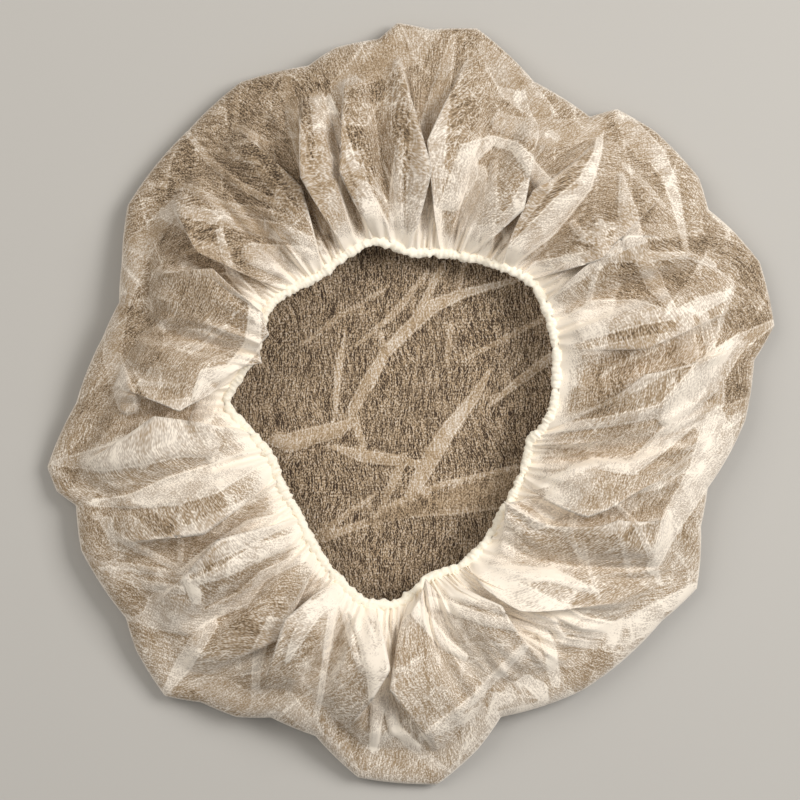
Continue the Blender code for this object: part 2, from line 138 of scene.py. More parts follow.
# Bright bands of the side, where a fold has fallen flat and the sheet lies two or three deep.
# Columns: whiteness, rise_mm, then the course, a point (x_mm, y_mm, half_width_mm) at each bend.
SIDE_BANDS = (
    (0.52, 1.6, (19, 166, 0.8), (14, 143, 4.0), (9, 119, 6.5), (6, 96, 8.0), (5, 72, 8.0)),
    (0.42, 1.2, (33, 160, 3.0), (47, 142, 8.0), (59, 130, 5.0)),
    (0.38, 1.2, (40, 125, 4.0), (61, 119, 6.0), (83, 124, 5.0)),
    (0.75, 2.0, (18, 90, 4.5), (26, 111, 4.5), (36, 117, 2.2), (46, 114, 2.2), (59, 97, 4.0)),
    (0.46, 1.4, (30, 102, 4.0), (27, 84, 5.0), (25, 70, 4.5)),
    (0.52, 1.2, (37, 107, 1.0), (35, 89, 3.0), (34, 69, 2.5)),
    (0.50, 0.8, (37, 92, 0.9), (43, 72, 1.1)),
    (0.82, 2.2, (45, 66, 4.0), (59, 78, 5.5), (68, 88, 5.0), (77, 97, 3.5), (83, 111, 1.8), (86, 126, 0.9)),
    (0.45, 1.2, (93, 131, 1.5), (100, 118, 4.0), (104, 111, 2.5)),
    (0.70, 1.6, (98, 127, 2.6), (110, 112, 4.2), (117, 98, 3.0), (120, 84, 1.8), (123, 67, 0.9)),
    (0.45, 0.8, (95, 107, 0.9), (105, 97, 1.3), (113, 88, 0.9)),
    (0.58, 1.6, (94, 102, 0.9), (96, 85, 4.0), (99, 69, 5.2)),
    (0.60, 1.0, (72, 80, 1.4), (77, 72, 1.6), (84, 78, 1.6), (98, 79, 1.5)),
    (0.68, 1.2, (84, 78, 2.6), (83, 70, 2.8), (83, 62, 2.5)),
    (0.60, 1.2, (56, 60, 3.0), (77, 64, 2.6), (106, 65, 2.0), (124, 66, 1.4), (136, 62, 1.2)),
    (0.60, 1.4, (64, 53, 4.5), (77, 60, 3.5)),
    (0.72, 2.0, (69, 32, 6.0), (84, 38, 8.0), (99, 40, 6.0), (117, 39, 1.8), (130, 44, 3.5), (143, 49, 1.5)),
    (0.60, 1.2, (101, 65, 2.5), (108, 55, 4.0), (117, 40, 1.5)),
    (0.38, 1.0, (121, 37, 4.0), (124, 22, 4.5)),
    (0.48, 0.9, (130, 39, 2.0), (135, 22, 2.2)),
    (0.50, 0.8, (134, 87, 0.9), (143, 78, 1.3), (141, 66, 1.0)),
    (0.42, 0.7, (146, 54, 0.9), (136, 31, 1.1)),
    (0.48, 0.8, (82, 60, 0.9), (76, 28, 1.3)),
    (0.80, 2.4, (163, 36, 1.4), (146, 26, 4.0), (132, 12, 8.0), (116, -4, 7.0)),
    (0.72, 1.4, (142, 18, 1.6), (139, 2, 2.4), (130, -10, 3.0)),
    (0.62, 1.4, (60, -12, 1.6), (88, -8, 2.2), (122, -1, 3.0)),
    (0.80, 2.0, (56, -37, 1.4), (82, -27, 2.4), (98, -29, 2.6), (114, -15, 4.6), (128, -2, 5.0)),
    (0.42, 1.6, (56, -52, 4.0), (68, -42, 7.0), (82, -30, 3.0)),
    (0.50, 1.0, (76, -42, 1.8), (70, -58, 1.4), (76, -70, 0.8)),
    (0.48, 0.8, (90, -44, 0.8), (100, -54, 1.2), (108, -70, 1.4), (112, -82, 1.0)),
    (0.72, 2.0, (136, -6, 5.0), (131, -30, 6.5), (116, -54, 5.0), (108, -74, 2.5)),
    (0.50, 0.9, (146, -6, 2.0), (138, -34, 2.4)),
    (0.36, 0.7, (76, -62, 0.8), (83, -86, 1.0)),
    (0.36, 0.7, (91, -55, 0.8), (98, -76, 1.0)),
    (0.78, 2.0, (38, -78, 3.0), (58, -88, 3.4), (76, -98, 3.0), (91, -101, 2.4), (106, -95, 3.2),
     (128, -84, 2.6)),
    (0.66, 1.4, (58, -92, 2.0), (68, -106, 1.8), (90, -110, 1.8), (112, -98, 2.4)),
    (0.70, 1.6, (12, -73, 3.0), (34, -76, 3.6), (62, -76, 2.6), (80, -83, 1.2)),
    (0.60, 1.8, (20, -82, 5.0), (46, -88, 6.5), (62, -98, 3.0)),
    (0.66, 1.4, (1, -90, 3.0), (14, -106, 2.4), (24, -113, 1.2)),
    (0.60, 1.2, (8, -88, 2.0), (34, -96, 2.4), (58, -101, 1.8)),
    (0.85, 1.4, (50, -125, 1.6), (57, -127, 3.6), (60, -133, 2.0)),
    (0.62, 1.4, (57, -98, 2.2), (62, -110, 2.6), (65, -126, 2.2)),
    (0.56, 1.2, (5, -149, 1.2), (28, -132, 1.8), (50, -108, 1.6)),
    (0.56, 1.2, (5, -150, 1.4), (30, -138, 1.8), (52, -124, 2.6)),
    (0.46, 1.0, (24, -156, 2.0), (36, -142, 3.0), (58, -136, 2.0)),
    (0.40, 1.0, (-2, -152, 2.0), (14, -166, 2.4)),
    (0.56, 2.0, (-161, -27, 1.2), (-137, -25, 5.5), (-119, -20, 7.5), (-104, -17, 7.0), (-91, -18, 6.0)),
    (0.68, 2.0, (-144, -45, 1.2), (-125, -44, 3.0), (-106, -39, 6.5), (-89, -34, 6.5), (-71, -25, 4.5)),
    (0.52, 1.4, (-90, 3, 4.5), (-94, -8, 4.5), (-89, -25, 1.5)),
    (0.66, 1.8, (-102, -75, 1.0), (-87, -66, 3.8), (-71, -57, 5.0), (-56, -52, 3.2)),
    (0.70, 1.6, (-95, -79, 1.5), (-82, -74, 2.8), (-68, -66, 3.5), (-49, -60, 2.6)),
    (0.60, 1.4, (-89, -94, 3.0), (-75, -87, 3.4), (-66, -77, 2.2), (-54, -71, 2.0), (-40, -65, 2.4)),
    (0.85, 1.2, (-100, -77, 1.5), (-96, -84, 2.8), (-95, -92, 1.5)),
    (0.55, 1.4, (-117, -88, 1.2), (-116, -96, 5.0), (-99, -99, 5.0), (-90, -98, 3.0)),
    (0.32, 1.0, (-112, -88, 4.0), (-97, -93, 5.0)),
    (0.64, 1.6, (-89, -99, 2.5), (-96, -108, 3.8), (-104, -120, 3.5), (-112, -132, 1.0)),
    (0.38, 1.2, (-97, -126, 3.0), (-85, -130, 7.0), (-73, -135, 5.0)),
    (0.60, 1.2, (-62, -97, 2.2), (-67, -108, 2.6), (-69, -119, 2.0), (-70, -135, 1.2)),
    (0.70, 1.4, (-36, -86, 3.0), (-44, -93, 3.6), (-50, -103, 2.6), (-55, -114, 0.9)),
    (0.70, 1.0, (-34, -87, 2.0), (-37, -107, 1.4), (-40, -128, 1.2), (-43, -143, 0.9)),
    (0.55, 0.9, (-31, -87, 1.5), (-26, -107, 1.2), (-22, -118, 0.9)),
    (0.88, 2.2, (-26, -90, 3.0), (-20, -103, 3.8), (-16, -119, 3.6), (-15, -137, 2.8), (-17, -157, 1.4)),
    (0.82, 2.0, (-13, -95, 2.2), (-12, -107, 3.0), (-12, -128, 2.8), (-7, -146, 2.5), (3, -155, 1.6)),
    (0.40, 1.2, (-70, -138, 3.0), (-54, -136, 4.0), (-44, -146, 2.5), (-25, -166, 1.5)),
    (0.54, 1.0, (-69, -130, 1.6), (-54, -131, 2.0), (-43, -145, 1.2)),
    (0.58, 1.0, (-143, -50, 1.5), (-136, -53, 2.0), (-133, -66, 1.2), (-132, -73, 1.0)),
    (0.56, 1.0, (-148, -68, 0.9), (-136, -75, 1.8), (-121, -81, 2.0), (-102, -83, 1.8)),
    (0.50, 0.8, (-139, -55, 1.2), (-121, -65, 1.5), (-104, -74, 1.2)),
    (0.48, 0.8, (-135, -72, 1.0), (-120, -74, 1.5), (-103, -77, 1.5)),
    (0.42, 0.7, (-102, -46, 0.9), (-103, -71, 1.1)),
    (0.50, 0.8, (-130, -96, 1.0), (-113, -100, 2.0)),
    (0.44, 1.0, (-30, -150, 1.4), (-25, -168, 1.6)),
    (0.46, 1.8, (-126, 0, 5.0), (-134, 20, 4.0), (-132, 42, 5.0), (-122, 70, 6.0), (-106, 88, 3.0)),
    (0.46, 1.2, (-118, 98, 1.2), (-100, 97, 1.4), (-84, 88, 1.8), (-66, 85, 1.8), (-52, 80, 1.4)),
    (0.46, 1.0, (-101, 122, 1.0), (-90, 108, 1.5), (-78, 98, 1.5), (-58, 87, 1.2)),
    (0.36, 0.8, (-92, 123, 1.0), (-78, 124, 1.2), (-64, 116, 1.0)),
    (0.36, 0.8, (-86, 112, 1.2), (-70, 108, 1.6), (-62, 97, 2.0), (-50, 82, 1.4)),
    (0.58, 1.6, (-106, 86, 2.0), (-84, 82, 3.4), (-58, 76, 3.6), (-42, 70, 2.4)),
    (0.78, 1.6, (-85, 76, 1.4), (-80, 58, 2.0), (-70, 46, 2.6)),
    (0.58, 2.0, (-70, 66, 5.0), (-52, 62, 8.0), (-40, 62, 4.0)),
    (0.32, 0.8, (-88, 132, 1.2), (-74, 132, 1.2), (-58, 140, 1.4)),
    (0.40, 1.4, (-56, 146, 2.4), (-52, 124, 2.8), (-46, 102, 2.8), (-38, 78, 2.4)),
    (0.66, 2.2, (-42, 136, 3.4), (-37, 112, 5.0), (-36, 92, 5.0), (-30, 74, 4.4)),
    (0.86, 2.2, (-37, 136, 1.6), (-28, 110, 2.6), (-21, 92, 4.0), (-15, 78, 5.0)),
    (0.44, 0.8, (-24, 112, 0.8), (-11, 88, 1.0)),
    (0.66, 1.4, (-5, 116, 1.6), (-7, 92, 2.6), (-6, 76, 3.2)),
    (0.34, 1.4, (-32, 142, 4.0), (-18, 152, 8.0), (0, 160, 8.0)),
    (0.44, 0.8, (-10, 168, 1.6), (12, 166, 1.8)),
    (0.34, 0.7, (-104, 8, 0.8), (-120, 9, 1.0)),
    (0.40, 0.8, (-98, 22, 0.8), (-82, 34, 1.0)),
    (0.34, 0.7, (-102, 66, 0.8), (-92, 70, 1.2), (-80, 68, 0.8)),
    (1.00, 1.6, (-95, 2, 2.0), (-91, 12, 3.0), (-80, 14, 3.0), (-70, 26, 3.4), (-69, 42, 2.4)),
)

# How much lighter and more opaque the side is drawn than the crown, by where it lies: least at the back
# left, most at the front right.
# Columns: angle_deg, tone.
SIDE_TONES = (
    (0, 0.21), (50, 0.20), (85, 0.18), (125, 0.06),
    (180, 0.23), (225, 0.25), (270, 0.34), (320, 0.38),
)

# The sheet's grid. The crown has a quarter of the side's lines, and the first ring past it has half of them.
SIDE_LINES = 1200
CROWN_LINES = SIDE_LINES // 4
CROWN_RINGS = 50
FLAT_RINGS = 6
ROLL_RINGS = 8
SIDE_RINGS = 56

# How far out the crown's rings lie: closer together where they show in the head opening.
CROWN_REACH = 117.0
CROWN_RING_STEPS = (0, 45, CROWN_RINGS)
CROWN_RING_REACHES = (0.0, 90.0, CROWN_REACH)
CROWN_LIFT = 0.6

# The rim's roll. It is lower where a corner juts out past the mean of the outline about it.
RIM_DEPTH = 15.0
RIM_HALF_HEIGHT = 8.0
RIM_FLATTEN = 0.28
RIM_MEAN_OVER_DEG = 24.0

# The side's mean reach: at the rim's top and at the hem, and about halfway.
MEAN_REACHES = (155.0, 75.0)
SIDE_MEAN_REACH = 120.0

# The side's puff and folds. A fullness is the power of an arch: a lower one makes it start steeper.
PUFF_RISE = 12.0
PUFF_FULLNESS = 0.7
PUFF_FOOT_FULLNESS = 0.3
VALLEY_DROP = 6.0
VALLEY_FULLNESS = 0.8
RIDGE_FULLNESS = 0.7
FLOP_FULLNESS = 0.8
FOLD_FIRMNESS = 1.35
FLOP_SPREAD = 0.26

# Flaps start at this share of the way from rim to hem, and lift the sheet as they lean in.
FLAPS_FROM = 0.85
FLAP_LIFT = 0.3

# Ripples of the side: a seed and the waves round the cap, and their height. They settle near both edges.
WIDE_RIPPLES = (11, (17, 23, 31, 41))
WIDE_RIPPLE_HEIGHT = 1.9
FINE_RIPPLES = (12, (71, 83, 97, 109))
FINE_RIPPLE_HEIGHT = 0.8
SETTLE_OVER = 0.125

# Small gathers are ripples too, which grow from this share of the way from rim to hem.
SMALL_GATHERS = (13, (83, 109, 137, 163))
GATHERS_FROM = 0.45
GATHERS_GROW_OVER = 0.5
GATHERS_GROWTH = 1.5

# The elastic's line, and how far outside it the sheet ends.
HEM_SOFTENED_DEG = 2.5
HEM_HEIGHT = 19.0
HEM_WAVE = 2.5
SEAM_OUT = 1.15

# The ruched casing: its grid, its seed, its swellings along the hem, and its width and height to its radius.
CASING_STEPS = 2600
CASING_SIDES = 14
CASING_SEED = 5
CASING_SWELLS = (13, 29, 47, 71, 113)
CASING_SWELL = 0.17
CASING_WIDTH = 1.15
CASING_HEIGHT = 0.9
CASING_FUZZ_STEPS = 6

# How far from a band's edge its depth is told, either way, its shoulder, and a fallen pleat's whiteness.
BAND_REACH = 4.0
BAND_SHOULDER = 1.4
PLEAT_WHITENESS = 0.45

# The haze of cloth bunched near the hem. Columns: share from rim to hem where it starts, tone, growth.
HEM_TONES = (
    (0.60, 0.26, 1.6),
    (0.90, 0.45, 1.0),
)

# A steep stretch is looked through at a slant and shows more haze, by how much longer the way through it is.
STEEP_TONE = 0.42
STEEP_FROM = 1.05
STEEP_OVER = 3.0
LEAST_UPRIGHT = 0.15

# The flat sheet's map is a little wider than the sheet.
UV_MARGIN = 1.06

# Layers of strands. Real filaments are 0.02 mm: they are drawn as the bundles of them that show.
# Columns: width_mm, length_mm, lean_deg, and the noise where a strand starts and where it is whole.
STRANDS = (
    (0.50, 11.0, 2.0, 0.54, 0.585),
    (0.40, 6.0, -20.0, 0.565, 0.65),
    (0.40, 6.0, 24.0, 0.565, 0.65),
)
STRAND_COVER = 0.38
SIDE_STRAND_COVER = 0.80 * STRAND_COVER

# Strands swing this far to either side, in bends of about this length.
STRAND_SWING = 7.0
STRAND_BEND = 24.0

# Sizes of the sheet's other patterns. Hot points really lie 0.8 mm apart: they are drawn at twice that.
GRAIN_SIZE = 0.8
POINT_SPACING = 1.6
CLOUD_SIZE = 14.0

# Facets of crumpled sheet, drawn as painted shade and light: each facet a random tone standing in for how it
# faces the light, each crease a painted highlight. Columns: size_mm, how much longer from rim to hem,
# lean_deg, tone, crease tone.
FACETS = (
    (17.0, 3.0, 24.0, 0.21, 0.14),
    (11.0, 3.6, -32.0, 0.13, 0.10),
)

# Polypropylene's index of refraction.
POLYPROPYLENE_IOR = 1.49

# Sizes of the hem's fuzz and of the floor's mottling.
FUZZ_SIZE = 1.6
FUZZ_HEIGHT = 0.4
MOTTLING_SIZE = 40.0

# The view straight down, in metres: its width is that of the plane at the cap's mean height.
CAMERA_HEIGHT = 1.3
VIEW_PLANE = 0.012
VIEW_WIDTH = 0.36
VIEW_MIDDLE = (-0.0057, 0.00225)

# Soft lights. Columns: name, place in metres, size in metres, power in watts, colour.
LIGHTS = (
    ("key_light", (1.1, 0.45, 1.2), 0.8, 23.0, "#FFFCF8"),
    ("fill_light", (-1.0, 0.5, 1.3), 1.2, 10.0, "#FFF8EE"),
)
ROOM_COLOUR = "#F3F1EE"
ROOM_LIGHT = 0.34
FLOOR_HALF = 3.0


def linear(hex_colour):
    """A colour with alpha 1 in linear light, from its sRGB hex value."""
    channels = np.array([int(hex_colour[i : i + 2], 16) for i in (1, 3, 5)]) / 255.0
    light = np.where(channels <= 0.04045, channels / 12.92, ((channels + 0.055) / 1.055) ** 2.4)
    return (*light, 1.0)


def colour_setting(name, description, hex_colour):
    """A colour that a user can change."""
    return bpy.props.FloatVectorProperty(
        name=name, description=description, subtype="COLOR", size=4, default=linear(hex_colour)
    )


class HairnetSettings(bpy.types.PropertyGroup):
    """Sizes and colours that a user of the cap would change."""

    flat_diameter: bpy.props.FloatProperty(
        name="Flat diameter",
        description="Diameter of the disc of non-woven that the cap is gathered from",
        default=0.53,
        unit="LENGTH",
    )
    ruche_depth: bpy.props.FloatProperty(
        name="Ruche depth",
        description="Height of the small gathers where the sheet meets the elastic",
        default=0.0011,
        precision=4,
        unit="LENGTH",
    )
    elastic_radius: bpy.props.FloatProperty(
        name="Hem radius",
        description="Radius of the ruched casing round the elastic thread",
        default=0.0019,
        precision=4,
        unit="LENGTH",
    )
    # Painted shade: the cloth is white, and this dark brown ground stands for the dark that shows through
    # and between its fibres.
    painted_shade_ground_colour: colour_setting("Ground colour", "The haze of fine fibres between the strands", "#33200D")
    strand_colour: colour_setting("Strand colour", "Single strands over the haze", "#B49B7A")
    doubled_colour: colour_setting("Doubled colour", "Cloth that lies two or three layers deep", "#D9CEC1")
    bunched_colour: colour_setting("Bunched colour", "Cloth that lies many layers deep", "#FBF1E2")
    hem_colour: colour_setting("Hem colour", "The ruched casing's thick parts", "#FDF6E6")
    hem_shade_colour: colour_setting("Hem shade colour", "The ruched casing between its gathers", "#F2E6CB")
    floor_colour: colour_setting("Floor colour", "The plain pale floor", "#BDBBB7")


def around(table, angles_deg):
    """The reach that a table of corners gives at each angle: straight from one corner to the next."""
    corners = np.array(table, float)
    return np.interp(angles_deg, corners[:, 0], corners[:, 1], period=360.0)


def smooth_around(table, angles_deg, spread_deg):
    """The same reach with its corners softened: the mean over a few angles on either side."""
    offsets = np.linspace(-spread_deg, spread_deg, 9)
    return np.mean([around(table, angles_deg + offset) for offset in offsets], axis=0)


def tent(x):
    """A ridge's cross-section: 1 at 0, falling to 0 at 1 and -1, with a rounded foot and a firm top."""
    slope = np.clip(1.0 - np.abs(x), 0.0, 1.0)
    return slope * slope * (1.6 - 0.6 * slope)


def turn_between(angles_deg, centre_deg):
    """The signed angle from a centre, from -180 to 180 degrees."""
    return (angles_deg - centre_deg + 180.0) % 360.0 - 180.0


def hem_line(angles_deg):
    """The elastic's centreline: the table's reach, softened, with a height that waves three and seven times
    round."""
    reach = smooth_around(HEM_BENDS, angles_deg, HEM_SOFTENED_DEG)
    turn = np.radians(angles_deg)
    height = HEM_HEIGHT + HEM_WAVE * np.sin(3.0 * turn + 0.7) + 0.6 * HEM_WAVE * np.sin(7.0 * turn + 2.0)
    return np.stack([reach * np.cos(turn), reach * np.sin(turn), height], axis=-1)


def outwards(line):
    """Unit vectors square to a closed line in plan, pointing out."""
    along = np.roll(line, -1, axis=0) - np.roll(line, 1, axis=0)
    out = np.stack([along[:, 1], -along[:, 0], np.zeros(len(along))], axis=-1)
    return out / np.linalg.norm(out, axis=1, keepdims=True)


def ripples(seed, counts, angles_deg, shares):
    """A random height between about -1 and 1: a sum of waves that run round the cap, each drifting along its
    run and swaying three times round.

    The waves are triangles, because stiff thin sheet lies in flat facets with sharp creases between them.
    """
    rng = np.random.default_rng(seed)
    turn = np.radians(angles_deg)
    total = np.zeros(np.broadcast(angles_deg, shares).shape)
    for count in counts:
        phase, drift, bend = rng.uniform(-np.pi, np.pi, 3)
        place = count * turn + phase + 1.6 * drift * shares + 1.2 * np.sin(3.0 * turn + bend + 4.0 * shares)
        total += 2.0 / np.pi * np.arcsin(np.sin(place))
    return total / np.sqrt(len(counts))


def bands_at(table, x, y):
    """The bands of a table at points of the plan: depth in millimetres, whiteness and height.

    Along its course a band's half width runs evenly from point to point. Its depth is that half width less
    the distance to the course, and the deepest band counts. It rises over a short shoulder across its edge.
    """
    depth = np.full(np.shape(x), -BAND_REACH)
    whiteness = np.zeros(np.shape(x))
    height = np.zeros(np.shape(x))
    for white, rise, *course in table:
        band = np.full(np.shape(x), -BAND_REACH)
        for (from_x, from_y, from_half), (to_x, to_y, to_half) in zip(course, course[1:]):
            run_x, run_y = to_x - from_x, to_y - from_y
            share = np.clip(((x - from_x) * run_x + (y - from_y) * run_y) / (run_x**2 + run_y**2), 0.0, 1.0)
            off = np.hypot(x - from_x - share * run_x, y - from_y - share * run_y)
            band = np.maximum(band, from_half + (to_half - from_half) * share - off)
        whiteness = np.where(band > depth, white, whiteness)
        depth = np.maximum(depth, band)
        shoulder = np.clip(band / BAND_SHOULDER + 0.5, 0.0, 1.0)
        height = np.maximum(height, rise * shoulder * shoulder * (3.0 - 2.0 * shoulder))
    return np.minimum(depth, BAND_REACH), whiteness, height


def fold_shape(angles_deg, shares):
    """The side's main folds at each share of the way from rim to hem, on each line of the sheet.

    Gives the height, from ridge to valley to ridge, how far the top flops over sideways, and how deep the
    line lies in the stretch where the flopped top covers its own foot, all in millimetres.
    """
    folds = np.array(FOLDS, float)
    rim = np.append(folds[:, 1], folds[0, 1] + 360.0)
    place = np.interp((angles_deg - rim[0]) % 360.0 + rim[0], rim, np.arange(len(rim)))
    left = np.floor(place).astype(int) % len(folds)
    right = (left + 1) % len(folds)
    step = place - np.floor(place)
    crest = folds[:, 3]
    along = np.where(shares < crest, shares / crest, (1.0 - shares) / (1.0 - crest))
    ridge = folds[:, 2] * along**RIDGE_FULLNESS
    valley = -VALLEY_DROP * np.sin(np.pi * shares) ** VALLEY_FULLNESS
    flop = folds[:, 4] * along**FLOP_FULLNESS
    near = np.clip(1.0 - 2.0 * step, 0.0, 1.0) ** FOLD_FIRMNESS
    far = np.clip(2.0 * step - 1.0, 0.0, 1.0) ** FOLD_FIRMNESS
    height = valley + (ridge[:, left] - valley) * near + (ridge[:, right] - valley) * far
    lean = flop[:, left] * tent(step / FLOP_SPREAD) + flop[:, right] * tent((1.0 - step) / FLOP_SPREAD)
    width = np.radians(np.diff(rim)[left]) * np.interp(shares, (0.0, 1.0), MEAN_REACHES)
    nearest = np.where(step < 0.5, step, step - 1.0) * width
    side = np.sign(np.where(step < 0.5, folds[left, 4], folds[right, 4]))
    covered = side * (nearest + lean) - FLOP_SPREAD * width
    covered = np.where(np.abs(nearest) < FLOP_SPREAD * width, covered, -BAND_REACH)
    return height, lean, np.clip(covered, -BAND_REACH, BAND_REACH)


def fold_twist(angles_deg):
    """How far each of the sheet's lines turns between rim and hem, from the folds on either side of it."""
    folds = np.array(FOLDS, float)
    return np.interp(angles_deg, folds[:, 1], folds[:, 0] - folds[:, 1], period=360.0)


def flap_reach(angles_deg, shares):
    """How far the side leans in past its straight run, where it flops over the hem."""
    reach = sum(amount * tent(turn_between(angles_deg, centre) / half) for centre, half, amount in FLAPS)
    return reach * tent((shares - FLAPS_FROM) / (1.0 - FLAPS_FROM))


def rim_ring(angles_deg, roll):
    """The rim's soft roll, from 0 underneath to 1 on top: half an arch, lower where the outline juts out."""
    turn = np.radians(angles_deg)
    lean = np.pi * (roll - 0.5)
    outline = around(RIM_CORNERS, angles_deg)
    stands_out = outline - smooth_around(RIM_CORNERS, angles_deg, RIM_MEAN_OVER_DEG)
    radius = outline - RIM_DEPTH * (1.0 - np.cos(lean))
    height = (RIM_HALF_HEIGHT - RIM_FLATTEN * stands_out) * (1.0 + np.sin(lean))
    return np.stack([radius * np.cos(turn), radius * np.sin(turn), height], axis=-1)


def under_side(angles_deg):
    """The sheet from the crown's edge to the rim's top: an even run out to the rim's foot, then its roll."""
    turn = np.radians(angles_deg)
    start = CROWN_REACH * np.stack([np.cos(turn), np.sin(turn), np.zeros(len(turn))], axis=-1)
    foot = rim_ring(angles_deg, 0.0)
    rings = [start + (foot - start) * (step / FLAT_RINGS) for step in range(1, FLAT_RINGS)]
    rings += [rim_ring(angles_deg, step / ROLL_RINGS) for step in range(ROLL_RINGS)]
    return np.array(rings)


def upper_side(angles_deg, settings):
    """The sheet from the rim's top to the hem, with its depth in the bright bands and how white they are.

    A point's angle turns evenly from its rim angle to its hem angle and leans with the folds. Its reach runs
    from the rim's to the hem's at that angle. Its height runs from the rim's to the hem's and adds the puff,
    which is an arch, the folds, ripples, the bands, and small gathers that grow towards the hem.
    """
    shares = (np.arange(SIDE_RINGS + 1) / SIDE_RINGS)[:, None]
    height, lean, covered = fold_shape(angles_deg, shares)
    hem = hem_line(angles_deg + fold_twist(angles_deg))
    hem_deg = np.degrees(np.arctan2(hem[:, 1], hem[:, 0]))
    inward = flap_reach(angles_deg, shares)
    lean_deg = np.degrees(lean / np.interp(shares, (0.0, 1.0), MEAN_REACHES))
    line_deg = angles_deg + turn_between(hem_deg, angles_deg) * shares + lean_deg
    top_reach = around(RIM_CORNERS, line_deg % 360.0) - RIM_DEPTH
    seam_reach = smooth_around(HEM_BENDS, line_deg % 360.0, HEM_SOFTENED_DEG) + SEAM_OUT
    reach = top_reach + (seam_reach - top_reach) * shares - inward
    turn = np.radians(line_deg)
    x, y = reach * np.cos(turn), reach * np.sin(turn)
    depth, whiteness, band_height = bands_at(SIDE_BANDS, x, y)
    pleated = covered > depth
    depth = np.where(pleated, covered, depth)
    whiteness = np.where(pleated, PLEAT_WHITENESS, whiteness)
    settled = np.clip((1.0 - shares) / SETTLE_OVER, 0.0, 1.0) * np.clip(shares / SETTLE_OVER, 0.0, 1.0)
    puff = PUFF_RISE * np.sin(np.pi * shares) ** PUFF_FULLNESS * settled**PUFF_FOOT_FULLNESS
    wide = WIDE_RIPPLE_HEIGHT * ripples(*WIDE_RIPPLES, angles_deg, shares)
    fine = FINE_RIPPLE_HEIGHT * ripples(*FINE_RIPPLES, angles_deg, shares)
    grown = np.clip((shares - GATHERS_FROM) / GATHERS_GROW_OVER, 0.0, 1.0) ** GATHERS_GROWTH
    gathers = ripples(*SMALL_GATHERS, angles_deg, shares) * settings.ruche_depth / MM * grown
    top = rim_ring(angles_deg, 1.0)[:, 2]
    z = top + (hem[:, 2] - top) * shares + puff + FLAP_LIFT * inward
    z = z + height + settled * (wide + fine + band_height) + gathers
    return np.stack([x, y, z], axis=-1), depth, whiteness, shares


def crown_rings():
    """How far out the crown's rings lie: in even steps, and in longer ones past the head opening."""
    return np.interp(np.arange(1, CROWN_RINGS + 1), CROWN_RING_STEPS, CROWN_RING_REACHES)


def crown(lines):
    """The crown: rings from its middle to where the side starts, each lifted by the creases."""
    turn = np.radians(np.arange(lines) * 360.0 / lines)
    reach = crown_rings()[:, None]
    x, y = reach * np.cos(turn), reach * np.sin(turn)
    depth, whiteness, height = bands_at(CROWN_CREASES, x, y)
    return np.stack([x, y, height], axis=-1), depth, whiteness


def ring_faces(starts, counts):
    """Faces of a round sheet from its middle point outwards, facing away from the hollow.

    A fan round the middle, quads between rings of as many points, and three triangles for each step of a
    ring where the next one has twice as many.
    """
    first = starts[0] + np.arange(counts[0])
    quads, triangles = [], [np.stack([np.zeros(counts[0], int), np.roll(first, -1), first], axis=-1)]
    for start, count, next_start, next_count in zip(starts, counts, starts[1:], counts[1:]):
        inner = start + np.arange(count)
        outer = next_start + np.arange(next_count)
        ahead, outer_ahead = np.roll(inner, -1), np.roll(outer, -1)
        if next_count == count:
            quads.append(np.stack([inner, ahead, outer_ahead, outer], axis=-1))
        else:
            even, odd, next_even = outer[::2], outer[1::2], outer_ahead[1::2]
            triangles.append(np.stack([inner, odd, even], axis=-1))
            triangles.append(np.stack([inner, ahead, odd], axis=-1))
            triangles.append(np.stack([ahead, next_even, odd], axis=-1))
    return np.concatenate(triangles), np.concatenate(quads)


def new_piece(name, points, face_groups, material):
    """A shaded mesh object from points in metres and arrays of faces, riding on the root body."""
    mesh = bpy.data.meshes.new(name)
    sizes = np.concatenate([np.full(len(group), group.shape[1]) for group in face_groups])
    corners = np.concatenate([group.ravel() for group in face_groups])
    mesh.vertices.add(len(points))
    mesh.vertices.foreach_set("co", points.ravel())
    mesh.loops.add(len(corners))
    mesh.loops.foreach_set("vertex_index", corners)
    mesh.polygons.add(len(sizes))
    mesh.polygons.foreach_set("loop_start", np.concatenate([[0], np.cumsum(sizes)[:-1]]))
    mesh.update(calc_edges=True)
    mesh.shade_smooth()
    mesh.materials.append(material)
    piece = bpy.data.objects.new(name, mesh)
    bpy.context.scene.collection.objects.link(piece)
    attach(piece, "root")
    return piece


def add_point_values(mesh, name, values):
    """Adds one number for each point of a mesh, for its material to read."""
    layer = mesh.attributes.new(name, "FLOAT", "POINT")
    layer.data.foreach_set("value", values.astype(np.float32))


def add_node(tree, kind, out=0, **values):
    """Adds a shader node and gives one of its outputs.

    Lower-case names set its properties. Capitalised ones, and in_ with a number, set or link its inputs.
    """
    node = tree.nodes.new("ShaderNode" + kind)
    for name, value in values.items():
        if name.islower() and not name.startswith("in_"):
            setattr(node, name, value)
            continue
        socket = node.inputs[int(name[3:]) if name.startswith("in_") else name.replace("_", " ")]
        if isinstance(value, bpy.types.NodeSocket):
            tree.links.new(value, socket)
        else:
            socket.default_value = value
    return node.outputs[out]


def combine(tree, kind, operation, *terms, out=0):
    """Adds a Math or VectorMath node and gives what it makes of its terms."""
    inputs = {f"in_{number}": term for number, term in enumerate(terms)}
    return add_node(tree, kind, out=out, operation=operation, **inputs)


def drawn_out(tree, place, lean_deg, size):
    """The place in a pattern of that size along each axis, which leans by those angles about them."""
    lean = tuple(np.radians(lean_deg))
    return add_node(tree, "Mapping", vector_type="TEXTURE", Vector=place, Rotation=lean, Scale=size)


def new_material(name):
    """An empty node material and its tree, with the output node."""
    material = bpy.data.materials.new(name)
    material.use_nodes = True
    tree = material.node_tree
    tree.nodes.clear()
    output = tree.nodes.new("ShaderNodeOutputMaterial")
    return material, tree, output


